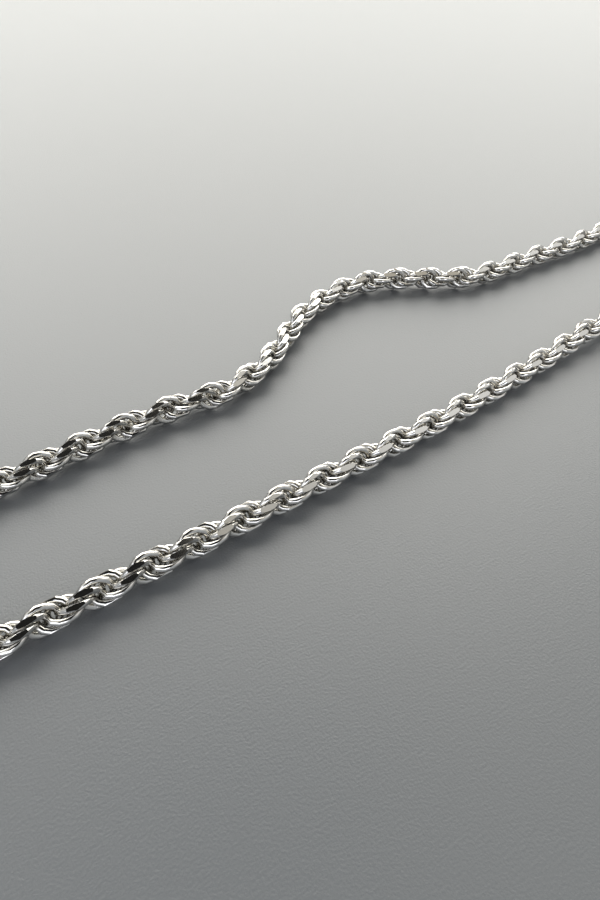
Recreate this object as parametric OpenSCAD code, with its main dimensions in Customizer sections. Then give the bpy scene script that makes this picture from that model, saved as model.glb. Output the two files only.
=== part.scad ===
// Rope chain necklace laid out flat in a long loop, fastened. Millimetres.
// The loop's long direction is X, and the rope and the fastening rest on Z = 0.
// The rope is drawn as the round bar that its links fill.

/* [Rope] */
// Diameter of the rope over its links
rope_d = 4.6; // [3.6:0.1:5.2]

/* [End caps] */
// Wall around the rope's end
cap_wall = 0.3; // [0.2:0.05:0.6]
// Length of rope that a cap holds
cap_depth = 4.2; // [3:0.2:6]
// Thickness of a cap's closed end
cap_floor = 0.9; // [0.6:0.1:1.4]
// Height of the rolled rim at a cap's mouth
rim_wire = 0.5; // [0.3:0.1:0.7]

/* [Rings] */
// Wire of the two soldered rings and the jump ring
ring_wire = 0.9; // [0.7:0.05:1.1]
// Inside diameter of the rings
ring_inner_d = 3; // [2.8:0.1:4]
// Depth that a soldered ring sinks into its cap
solder_depth = 0.3; // [0.2:0.05:0.5]

/* [Clasp] */
// Length of the clasp from the back of its eye to its nose
clasp_l = 14; // [12:0.5:20]
// Wire of the clasp's hook
hook_wire = 1.5; // [1.1:0.1:1.7]
// Inside width of the hook
hook_inner_w = 2.6; // [2.2:0.1:4]
// Diameter of the clasp's barrel
barrel_d = 2.7; // [2:0.1:3.4]
// Length of the barrel's full diameter
barrel_l = 2.6; // [1:0.2:4]
// Wire of the clasp's eye
eye_wire = 1.1; // [0.8:0.05:1.2]
// Inside diameter of the clasp's eye
eye_inner_d = 1.7; // [1.5:0.1:2.4]

/* [Fit] */
// Clearance between the rope and its caps
fit_gap = 0.1; // [0.05:0.05:0.2]
// Clearance between linked rings
link_gap = 0.2; // [0.1:0.05:0.3]

/* [Hidden] */
$fn = 48;

// Sides of the rope's bar, and cross-sections for each stretch of its route
rope_sides = 12;
steps = 2;

// Route of the rope from the cap beside the clasp's eye, once around the loop.
// Columns: x, y, and 1 where the rope is lifted to a cap's height or 0 where it lies
route_points = [
    [68, -19, 1], [56, -19, 1], [42, -20, 0], [28, -21, 0], [8, -22, 0],
    [-14, -22, 0], [-36, -22, 0], [-58, -22, 0], [-80, -22, 0], [-104, -22, 0],
    [-111, -20, 0], [-116, -15, 0], [-118, -8, 0], [-116, -1, 0], [-111, 5, 0],
    [-104, 7, 0], [-88, 7, 0], [-72, 6, 0], [-58, 6, 0], [-44, 7, 0],
    [-30, 7, 0], [-20, 6, 0], [-10, 9, 0], [-2, 14, 0], [6, 19, 0],
    [16, 22, 0], [25, 22, 0], [35, 18, 0], [43, 13, 0], [51, 10, 0],
    [66, 9, 0], [84, 8, 0], [104, 8, 0], [111, 6, 0], [116, 1, 0],
    [118, -5, 0], [116, -12, 0], [111, -17, 0], [104, -19, 0]
];

// Rings, caps and eye
ring_mid_r = (ring_inner_d + ring_wire) / 2;
ring_outer_r = ring_inner_d / 2 + ring_wire;
cap_bore_r = rope_d / 2 + fit_gap;
cap_r = cap_bore_r + cap_wall;
cap_l = cap_depth + fit_gap + cap_floor;
rim_r = cap_r + rim_wire / 4;
eye_mid_r = (eye_inner_d + eye_wire) / 2;
hook_mid_r = (hook_inner_w + hook_wire) / 2;

// Height of the fastening's middle line, which lets its widest piece rest on Z = 0
end_height = max(rim_r + rim_wire / 4, ring_outer_r, barrel_d / 2);

// Places along the fastening, from the rope's first end towards +X
start_x = route_points[0][0];
line_y = route_points[0][1];
eye_side_face = start_x + fit_gap + cap_floor;
eye_side_ring_x = eye_side_face + ring_outer_r - solder_depth;
jump_ring_x = eye_side_ring_x + 2 * ring_mid_r - ring_wire - link_gap;
eye_x = jump_ring_x + ring_inner_d / 2 - link_gap + eye_inner_d / 2;
nose_x = eye_x - eye_mid_r - eye_wire / 2 + clasp_l - hook_wire / 2 - hook_mid_r;
hook_inner_x = nose_x + hook_inner_w / 2;
nose_side_ring_x = hook_inner_x - ring_wire / 2 - link_gap + ring_mid_r;
nose_side_face = nose_side_ring_x + ring_outer_r - solder_depth;
end_x = nose_side_face + cap_floor + fit_gap;

// The whole route ends where the fastening does
route = concat(route_points, [[end_x, line_y, 1]]);

// Point number i of the route, in space
function route_point(i) =
    let (p = route[i])
    [p[0], p[1], rope_d / 2 + p[2] * (end_height - rope_d / 2)];

// Direction of the rope at route point i, along the line between its neighbours
function heading(i) =
    let (a = route_point(max(i - 1, 0)), b = route_point(min(i + 1, len(route) - 1)))
    (b - a) / norm(b - a);

// Place on the smooth curve from point i to point i + 1, and its direction there, for t from 0 to 1
function curve_place(i, t) =
    let (a = route_point(i), b = route_point(i + 1), d = norm(b - a))
    (2 * t ^ 3 - 3 * t ^ 2 + 1) * a + (t ^ 3 - 2 * t ^ 2 + t) * d * heading(i)
    + (3 * t ^ 2 - 2 * t ^ 3) * b + (t ^ 3 - t ^ 2) * d * heading(i + 1);
function curve_heading(i, t) =
    let (a = route_point(i), b = route_point(i + 1), d = norm(b - a))
    (6 * t ^ 2 - 6 * t) * (a - b) + (3 * t ^ 2 - 4 * t + 1) * d * heading(i)
    + (3 * t ^ 2 - 2 * t) * d * heading(i + 1);

// Corners of the round cross-section at a place, square to the rope's direction
function cross_section(place, along) =
    let (side = cross(along, [0, 0, 1]) / norm(cross(along, [0, 0, 1])))
    let (up = cross(side, along) / norm(cross(side, along)))
    [for (k = [0 : rope_sides - 1])
        let (turn = 360 * k / rope_sides - 90)
        place + rope_d / 2 * (cos(turn) * side + sin(turn) * up)];

// A round bar that follows the route
module swept_bar() {
    stretches = len(route) - 1;
    sections = [for (i = [0 : stretches - 1], s = [0 : steps - 1])
        cross_section(curve_place(i, s / steps), curve_heading(i, s / steps))];
    last = cross_section(route_point(stretches), heading(stretches));
    all = concat(sections, [last]);
    top = len(all) - 1;
    corners = [for (section = all) each section];
    sides = [for (i = [0 : top - 1], k = [0 : rope_sides - 1])
        let (a = i * rope_sides + k, b = i * rope_sides + (k + 1) % rope_sides)
        [a, b, b + rope_sides, a + rope_sides]];
    first_face = [for (k = [rope_sides - 1 : -1 : 0]) k];
    last_face = [for (k = [0 : rope_sides - 1]) top * rope_sides + k];
    polyhedron(points = corners, faces = concat([first_face], sides, [last_face]), convexity = 8);
}

// A wire ring around Z, from its middle radius and wire
module wire_ring(mid_r, wire, angle = 360) {
    rotate_extrude(angle = angle)
        translate([mid_r, 0])
            circle(d = wire);
}

// A cap with its mouth facing -X, its closed end's outer face at X = 0, and its ring soldered on.
// ring_turn stands the ring up or lays it flat
module end_cap(ring_turn) {
    difference() {
        union() {
            rotate([0, -90, 0])
                cylinder(h = cap_l, r = cap_r);
            translate([rim_wire / 2 - cap_l, 0, 0])
                rotate([0, 90, 0])
                    wire_ring(rim_r - rim_wire / 4, rim_wire);
            translate([ring_outer_r - solder_depth, 0, 0])
                rotate([ring_turn, 0, 0])
                    wire_ring(ring_mid_r, ring_wire);
        }
        translate([-cap_floor, 0, 0])
            rotate([0, -90, 0])
                cylinder(h = cap_l, r = cap_bore_r);
    }
}

// A round bar of the clasp in its own plane, with round ends
module clasp_bar(from, to, from_d, to_d) {
    run = to - from;
    translate([from[0], from[1], 0])
        rotate([0, 90, atan2(run[1], run[0])])
            cylinder(h = norm(run), d1 = from_d, d2 = to_d);
    translate([from[0], from[1], 0])
        sphere(d = from_d);
    translate([to[0], to[1], 0])
        sphere(d = to_d);
}

// The clasp's barrel and the taper from it to the hook's wire, turned around X from X = 0
module clasp_barrel(length) {
    rotate([0, 90, 0])
        rotate_extrude()
            polygon([[0, 0], [barrel_d / 2, 0], [barrel_d / 2, barrel_l], [hook_wire / 2, length], [0, length]]);
    translate([length, 0, 0])
        sphere(d = hook_wire);
}

module rope_chain() {
    color("gainsboro")
        swept_bar();
}

module end_cap_clasp_side() {
    color("silver")
        translate([eye_side_face, line_y, end_height])
            end_cap(0);
}

module end_cap_ring_side() {
    color("silver")
        translate([nose_side_face, line_y, end_height])
            rotate([0, 0, 180])
                end_cap(90);
}

module jump_ring() {
    color("lightgray")
        translate([jump_ring_x, line_y, end_height])
            rotate([90, 0, 0])
                wire_ring(ring_mid_r, ring_wire);
}

// The clasp lies on its side: an eye, a tail, and a closed hook with a thick barrel along one side
module clasp() {
    nose = nose_x - eye_x;
    tail = eye_mid_r + eye_wire / 2;
    throat = (nose + tail) / 2 - barrel_l / 2;
    color("lightgray")
        translate([eye_x, line_y, end_height]) {
            wire_ring(eye_mid_r, eye_wire);
            clasp_bar([eye_mid_r, 0], [tail + hook_wire / 2, 0], eye_wire, hook_wire);
            clasp_bar([tail + hook_wire / 2, 0], [throat, hook_mid_r], hook_wire, hook_wire);
            clasp_bar([throat, hook_mid_r], [nose, hook_mid_r], hook_wire, hook_wire);
            clasp_bar([tail + hook_wire / 2, 0], [throat, -hook_mid_r], hook_wire, barrel_d);
            translate([throat, -hook_mid_r, 0])
                clasp_barrel(nose - throat);
            translate([nose, 0, 0])
                rotate([0, 0, -90])
                    wire_ring(hook_mid_r, hook_wire, 180);
        }
}

rope_chain();
end_cap_ring_side();
end_cap_clasp_side();
jump_ring();
clasp();
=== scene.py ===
"""Looks of a fastened silver rope chain, laid flat in a long loop.

Lengths are in millimetres until a mesh is put in place, and angles are in degrees.
"""

import math

import bpy
import numpy as np
from mathutils import Matrix, Vector


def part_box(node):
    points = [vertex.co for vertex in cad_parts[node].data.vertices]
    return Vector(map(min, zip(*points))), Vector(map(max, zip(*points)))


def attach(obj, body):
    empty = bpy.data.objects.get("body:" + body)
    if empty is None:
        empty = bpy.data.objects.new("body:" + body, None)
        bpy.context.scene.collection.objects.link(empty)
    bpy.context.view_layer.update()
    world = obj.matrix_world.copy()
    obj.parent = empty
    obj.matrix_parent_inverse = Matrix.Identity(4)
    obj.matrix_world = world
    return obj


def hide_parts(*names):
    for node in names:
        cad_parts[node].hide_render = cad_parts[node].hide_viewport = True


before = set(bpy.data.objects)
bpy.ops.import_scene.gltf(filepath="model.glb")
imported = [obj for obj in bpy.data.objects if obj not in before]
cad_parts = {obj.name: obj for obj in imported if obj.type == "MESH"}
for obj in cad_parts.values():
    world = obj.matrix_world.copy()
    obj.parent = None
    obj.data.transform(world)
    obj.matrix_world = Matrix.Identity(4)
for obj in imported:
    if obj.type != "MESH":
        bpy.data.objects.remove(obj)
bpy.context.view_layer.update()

MM = 0.001
UP = Vector((0, 0, 1))

# The rope, as in the part's source
ROPE_WIDTH = 4.6

# Route of the rope from the cap beside the clasp's eye, once around the loop.
# Columns: x, y, and 1 where the rope is lifted to a cap's height or 0 where it lies
ROUTE = [
    (68, -19, 1), (56, -19, 1), (42, -20, 0), (28, -21, 0), (8, -22, 0),
    (-14, -22, 0), (-36, -22, 0), (-58, -22, 0), (-80, -22, 0), (-104, -22, 0),
    (-111, -20, 0), (-116, -15, 0), (-118, -8, 0), (-116, -1, 0), (-111, 5, 0),
    (-104, 7, 0), (-88, 7, 0), (-72, 6, 0), (-58, 6, 0), (-44, 7, 0),
    (-30, 7, 0), (-20, 6, 0), (-10, 9, 0), (-2, 14, 0), (6, 19, 0),
    (16, 22, 0), (25, 22, 0), (35, 18, 0), (43, 13, 0), (51, 10, 0),
    (66, 9, 0), (84, 8, 0), (104, 8, 0), (111, 6, 0), (116, 1, 0),
    (118, -5, 0), (116, -12, 0), (111, -17, 0), (104, -19, 0), (91, -19, 1),
]
SAMPLES_IN_A_STRETCH = 40

# The rope's left-handed twist, which is a little uneven, and the slow turn of its flat cuts.
# Columns: distance along the route, half turns up to there, and the turn of the first cut
TWIST = [
    (0, 0.38, 62), (11, 1.80, 62), (50, 6.80, 61), (82, 10.80, 60), (100, 13.14, 60),
    (121, 15.86, 64), (135, 17.66, 66), (262.3, 34.35, 116), (269.3, 35.35, 116),
    (276.3, 36.24, 116), (302, 39.23, 116), (325.5, 42.23, 116), (347.5, 45.23, 116),
    (377.5, 49.23, 116), (401.5, 52.23, 116), (418, 54.23, 116), (487.3, 63.1, 116),
]
LINKS_IN_HALF_TURN = 4.97

# The half turn where the first link stands, and the length past the last link
FIRST_LINK = 0.855
LAST_MARGIN = 2.6

# Share of its width that the rope keeps where a cap holds it.
# Columns: distance along the route, and the share there
DRAWN_IN = [(0, 0.84), (5, 0.84), (7, 1), (480.3, 1), (482.3, 0.84), (487.3, 0.84)]

# One link: an oval ring of round wire around the rope's middle, which shows on both sides of it
WIRE = 1.05
WIRE_SIDES = 8
RING_RADIUS = 2.1
RING_STRETCH = 1.15
RING_LEAN = 4
RING_STEPS = 14

# The flat cuts along the rope, at equal turns around it
CUTS = 4
CUT_DISTANCE = 2.2

LINKS_IN_A_PIECE = 160

# Distance ahead along the rope that gives its direction at a place
LOOK_AHEAD = 0.5

# Grain of the floor's paint, across and in depth
GRAIN = 0.35
GRAIN_DEPTH = 0.05

# Width of the floor, and its height, which lets the lowest links touch it
FLOOR_WIDTH = 3000
FLOOR_HEIGHT = -0.33

# The far side's direction along the floor, seen from the camera
FAR_SIDE = Vector((0.566, 0.824, 0))

# How far a direction points to the far side where the near side's light ends,
# and where the far side's is reached
NEAR_LIGHT_ENDS = -0.35
FAR_LIGHT_BEGINS = 0.05

# The camera's place and turn, and its lens
CAMERA_PLACE = Vector((-56.97, -72.81, 79.95)) * MM
CAMERA_TURN = (
    Matrix.Rotation(math.radians(-34.47), 4, "Z")
    @ Matrix.Rotation(math.radians(90 - 47.67), 4, "X")
    @ Matrix.Rotation(math.radians(1.46), 4, "Z")
)
SENSOR_WIDTH = 36
LENS_LENGTH = 24

# The black card's width and height, and its middle in the camera's own directions
CARD_SIZE = (87, 156)
CARD_PLACE = (-15.5, 62, 2)


def only(obj):
    """Select obj alone and make it the active one."""
    bpy.ops.object.select_all(action="DESELECT")
    obj.select_set(True)
    bpy.context.view_layer.objects.active = obj


def rope_line():
    """The route's smooth curve as finely set places, and the distance along it to each."""
    lying = ROPE_WIDTH / 2
    lifted = (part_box("end_cap_ring_side")[0].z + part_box("end_cap_ring_side")[1].z) / 2 / MM
    points = [Vector((x, y, lying + lift * (lifted - lying))) for x, y, lift in ROUTE]
    last = len(points) - 1
    headings = [
        (points[min(i + 1, last)] - points[max(i - 1, 0)]).normalized()
        for i in range(last + 1)
    ]
    places = []
    for a, b, leaving, arriving in zip(points, points[1:], headings, headings[1:]):
        length = (b - a).length
        for step in range(SAMPLES_IN_A_STRETCH):
            t = step / SAMPLES_IN_A_STRETCH
            places.append(
                (2 * t**3 - 3 * t**2 + 1) * a
                + (t**3 - 2 * t**2 + t) * length * leaving
                + (3 * t**2 - 2 * t**3) * b
                + (t**3 - t**2) * length * arriving
            )
    places.append(points[-1])
    steps = [(b - a).length for a, b in zip(places, places[1:])]
    return np.array(places), np.concatenate([[0], np.cumsum(steps)])


def ring_of_wire():
    """One oval ring around the rope's middle, which runs along Z. It stands out towards X."""
    bpy.ops.object.select_all(action="DESELECT")
    bpy.ops.mesh.primitive_torus_add(
        major_segments=RING_STEPS,
        minor_segments=WIRE_SIDES,
        major_radius=RING_RADIUS,
        minor_radius=WIRE / 2,
        rotation=(math.radians(90 + RING_LEAN), 0, 0),
    )
    bpy.ops.object.transform_apply()
    bpy.ops.object.shade_smooth()
    ring = bpy.context.object
    ring.data.transform(Matrix.Diagonal((1, 1, RING_STRETCH, 1)))
    return ring


def cut_link(ring, turn, first_cut):
    """A copy of the ring, turned around the rope's middle and cut flat where it stands out."""
    link = ring.copy()
    link.data = ring.data.copy()
    bpy.context.collection.objects.link(link)
    link.data.transform(Matrix.Rotation(math.radians(turn), 4, "Z"))
    only(link)
    bpy.ops.object.mode_set(mode="EDIT")
    for cut in range(CUTS):
        facing = math.radians(first_cut + 360 * cut / CUTS)
        normal = Vector((math.cos(facing), math.sin(facing), 0))
        bpy.ops.mesh.select_all(action="SELECT")
        bpy.ops.mesh.bisect(
            plane_co=normal * CUT_DISTANCE, plane_no=normal, use_fill=True, clear_outer=True
        )
        bpy.ops.mesh.mark_sharp()
    bpy.ops.object.mode_set(mode="OBJECT")
    places = np.array([v.co for v in link.data.vertices])
    depth = link.data.attributes.new("from_middle", "FLOAT", "POINT")
    depth.data.foreach_set("value", np.hypot(places[:, 0], places[:, 1]) / (ROPE_WIDTH / 2))
    return link


def rope_of_links():
    """Every link in its place along the route, joined into a few pieces."""
    places, distances = rope_line()
    ring = ring_of_wire()
    twist_places, half_turns, cut_turns = zip(*TWIST)
    width_places, widths = zip(*DRAWN_IN)
    last_link = np.interp(distances[-1] - LAST_MARGIN, twist_places, half_turns)
    count = int((last_link - FIRST_LINK) * LINKS_IN_HALF_TURN) + 1
    pieces = []
    for first in range(0, count, LINKS_IN_A_PIECE):
        links = []
        for i in range(first, min(first + LINKS_IN_A_PIECE, count)):
            half_turn = FIRST_LINK + i / LINKS_IN_HALF_TURN
            at = np.interp(half_turn, half_turns, twist_places)
            link = cut_link(ring, -180 * half_turn, np.interp(at, twist_places, cut_turns))
            here, ahead = (
                Vector([np.interp(at + step, distances, places[:, k]) for k in range(3)])
                for step in (0, LOOK_AHEAD)
            )
            along = (ahead - here).normalized()
            left = UP.cross(along).normalized()
            turned = Matrix((left, along.cross(left), along)).transposed().to_4x4()
            width = np.interp(at, width_places, widths)
            link.data.transform(
                Matrix.Scale(MM, 4)
                @ Matrix.Translation(here)
                @ turned
                @ Matrix.Diagonal((width, width, 1, 1))
            )
            links.append(link)
        bpy.ops.object.select_all(action="DESELECT")
        for link in links:
            link.select_set(True)
        bpy.context.view_layer.objects.active = links[0]
        bpy.ops.object.join()
        links[0].name = f"rope_links_{len(pieces) + 1}"
        pieces.append(links[0])
    bpy.data.objects.remove(ring)
    return pieces


def linear(hex_colour):
    """An sRGB hex colour as the linear values that a shader takes."""
    values = [int(hex_colour[i : i + 2], 16) / 255 for i in (1, 3, 5)]
    return [v / 12.92 if v <= 0.04045 else ((v + 0.055) / 1.055) ** 2.4 for v in values] + [1]


def node(material, kind, settings=None, inputs=None):
    """Add a shader node. An input is set to a value, or joined where it is given a socket."""
    tree = material.node_tree
    made = tree.nodes.new(kind)
    for name, value in (settings or {}).items():
        setattr(made, name, value)
    for name, value in (inputs or {}).items():
        if isinstance(value, bpy.types.NodeSocket):
            tree.links.new(value, made.inputs[name])
        else:
            made.inputs[name].default_value = value
    return made


def new_material(name):
    """A material named for the real one, and its shader."""
    material = bpy.data.materials.new(name)
    material.use_nodes = True
    return material, material.node_tree.nodes["Principled BSDF"]


def colour_steps(material, factor, steps):
    """A colour ramp with a (place, hex colour) pair for each step."""
    ramp = node(material, "ShaderNodeValToRGB", inputs={"Fac": factor})
    elements = ramp.color_ramp.elements
    while len(elements) < len(steps):
        elements.new(0.5)
    for element, (place, colour) in zip(elements, steps):
        element.position = place
        element.color = linear(colour)
    return ramp.outputs["Color"]


def polished_rope_silver():
    """Sterling silver, drawn as wire, tumbled bright and cut with a diamond tool: white outside,
    and greyer down between the links, partly duller silver that polishing doesn't reach and partly
    painted shade in the recesses where the links hide each other."""
    material, shader = new_material("sterling_silver_polished_links")
    links = material.node_tree.links
    depth = node(material, "ShaderNodeAttribute", {"attribute_name": "from_middle"})
    # Greyer towards the rope's middle: painted shade between the links, with some duller silver
    # there as well
    colour = colour_steps(
        material, depth.outputs["Fac"], [(0.3, "#AEABA4"), (0.6, "#CAC8C3"), (0.85, "#D8D6D2")]
    )
    links.new(colour, shader.inputs["Base Color"])
    shader.inputs["Metallic"].default_value = 1
    shader.inputs["Roughness"].default_value = 0.13
    return material


def polished_fitting_silver():
    """Sterling silver, cast or formed, soldered and then polished."""
    material, shader = new_material("sterling_silver_polished_fittings")
    shader.inputs["Base Color"].default_value = linear("#DEDCD8")
    shader.inputs["Metallic"].default_value = 1
    shader.inputs["Roughness"].default_value = 0.14
    return material


def satin_floor():
    """Pale painted sheet with a very fine grain, which scatters most of its gloss."""
    material, shader = new_material("painted_sheet_satin")
    links = material.node_tree.links
    place = node(material, "ShaderNodeTexCoord")
    grain = node(
        material,
        "ShaderNodeTexNoise",
        inputs={"Vector": place.outputs["Object"], "Scale": 1 / (GRAIN * MM), "Detail": 2},
    )
    bump = node(
        material,
        "ShaderNodeBump",
        inputs={"Height": grain.outputs["Fac"], "Strength": 1, "Distance": GRAIN_DEPTH * MM},
    )
    links.new(bump.outputs["Normal"], shader.inputs["Normal"])
    shader.inputs["Base Color"].default_value = linear("#5C5F61")
    shader.inputs["Roughness"].default_value = 0.46
    shader.inputs["Specular IOR Level"].default_value = 1
    return material


def sky():
    """Soft light all round, brightest from high on the far side, and dark low down there."""
    world = bpy.data.worlds.new("soft_studio")
    bpy.context.scene.world = world
    world.use_nodes = True
    background = world.node_tree.nodes["Background"]
    direction = node(world, "ShaderNodeTexCoord").outputs["Generated"]
    height = node(world, "ShaderNodeSeparateXYZ", inputs={0: direction}).outputs["Z"]
    far_side = colour_steps(
        world,
        height,
        [(0, "#272727"), (0.1, "#272727"), (0.18, "#B6B6B4"), (0.76, "#FFFFFD"), (0.93, "#C4BFB3")],
    )
    near_side = colour_steps(world, height, [(0, "#B0B4B8"), (0.7, "#B0B4B8"), (0.95, "#C0BBAF")])
    towards_far = node(
        world,
        "ShaderNodeVectorMath",
        {"operation": "DOT_PRODUCT"},
        {0: direction, 1: FAR_SIDE},
    )
    side = node(
        world,
        "ShaderNodeMapRange",
        inputs={
            "Value": towards_far.outputs["Value"],
            "From Min": NEAR_LIGHT_ENDS,
            "From Max": FAR_LIGHT_BEGINS,
        },
    )
    # The mix node's colours are its inputs 6 and 7 and its output 2
    mix = node(world, "ShaderNodeMix", {"data_type": "RGBA"}, {"Factor": side.outputs["Result"]})
    world.node_tree.links.new(near_side, mix.inputs[6])
    world.node_tree.links.new(far_side, mix.inputs[7])
    world.node_tree.links.new(mix.outputs[2], background.inputs["Color"])
    background.inputs["Strength"].default_value = 1


def soft_lamp(name, place, aim, width, height, power, colour):
    """A soft lamp at a place in millimetres, turned to the aim."""
    lamp = bpy.data.lights.new(name, "AREA")
    lamp.shape = "RECTANGLE"
    lamp.size, lamp.size_y = width * MM, height * MM
    lamp.energy = power
    lamp.color = linear(colour)[:3]
    made = bpy.data.objects.new(name, lamp)
    bpy.context.collection.objects.link(made)
    made.location = Vector(place) * MM
    made.rotation_euler = (Vector(aim) - Vector(place)).to_track_quat("-Z", "Y").to_euler()


def plate(name, width, height, matrix, material):
    """A flat rectangle of the stage, its sides in millimetres."""
    bpy.ops.object.select_all(action="DESELECT")
    bpy.ops.mesh.primitive_plane_add(size=1)
    made = bpy.context.object
    made.name = name
    made.data.transform(matrix @ Matrix.Diagonal((width * MM, height * MM, 1, 1)))
    made.data.materials.append(material)
    return made


def black_card():
    """A black card over the near side, which the flat cuts at the left show as black."""
    material, shader = new_material("black_card")
    shader.inputs["Base Color"].default_value = linear("#050505")
    shader.inputs["Roughness"].default_value = 1
    card = plate(
        "black_card",
        *CARD_SIZE,
        Matrix.Translation(CAMERA_PLACE)
        @ CAMERA_TURN
        @ Matrix.Translation(Vector(CARD_PLACE) * MM),
        material,
    )
    card.visible_camera = False


def camera():
    """A wide lens close above the chain, as a phone's is."""
    lens = bpy.data.cameras.new("camera")
    lens.sensor_width = SENSOR_WIDTH
    lens.lens = LENS_LENGTH
    lens.clip_start = 1 * MM
    lens.clip_end = 10000 * MM
    made = bpy.data.objects.new("camera", lens)
    bpy.context.collection.objects.link(made)
    made.matrix_world = Matrix.Translation(CAMERA_PLACE) @ CAMERA_TURN
    bpy.context.scene.camera = made


rope_silver = polished_rope_silver()
fitting_silver = polished_fitting_silver()

for piece in rope_of_links():
    piece.data.materials.clear()
    piece.data.materials.append(rope_silver)
    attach(piece, "root")
    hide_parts("rope_chain")

for name, cad_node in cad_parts.items():
    if name != "rope_chain":
        cad_node.data.materials.clear()
        cad_node.data.materials.append(fitting_silver)

plate(
    "floor",
    FLOOR_WIDTH,
    FLOOR_WIDTH,
    Matrix.Translation((0, 0, FLOOR_HEIGHT * MM)),
    satin_floor(),
)
sky()
soft_lamp(
    "window",
    place=(300, 560, 420),
    aim=(0, 0, 0),
    width=1500,
    height=850,
    power=13.6,
    colour="#FFFDF6",
)
soft_lamp(
    "fill",
    place=(-420, -330, 400),
    aim=(-40, 0, 0),
    width=900,
    height=500,
    power=2.6,
    colour="#F4F6FF",
)
black_card()
camera()
bpy.context.scene.view_settings.view_transform = "Standard"
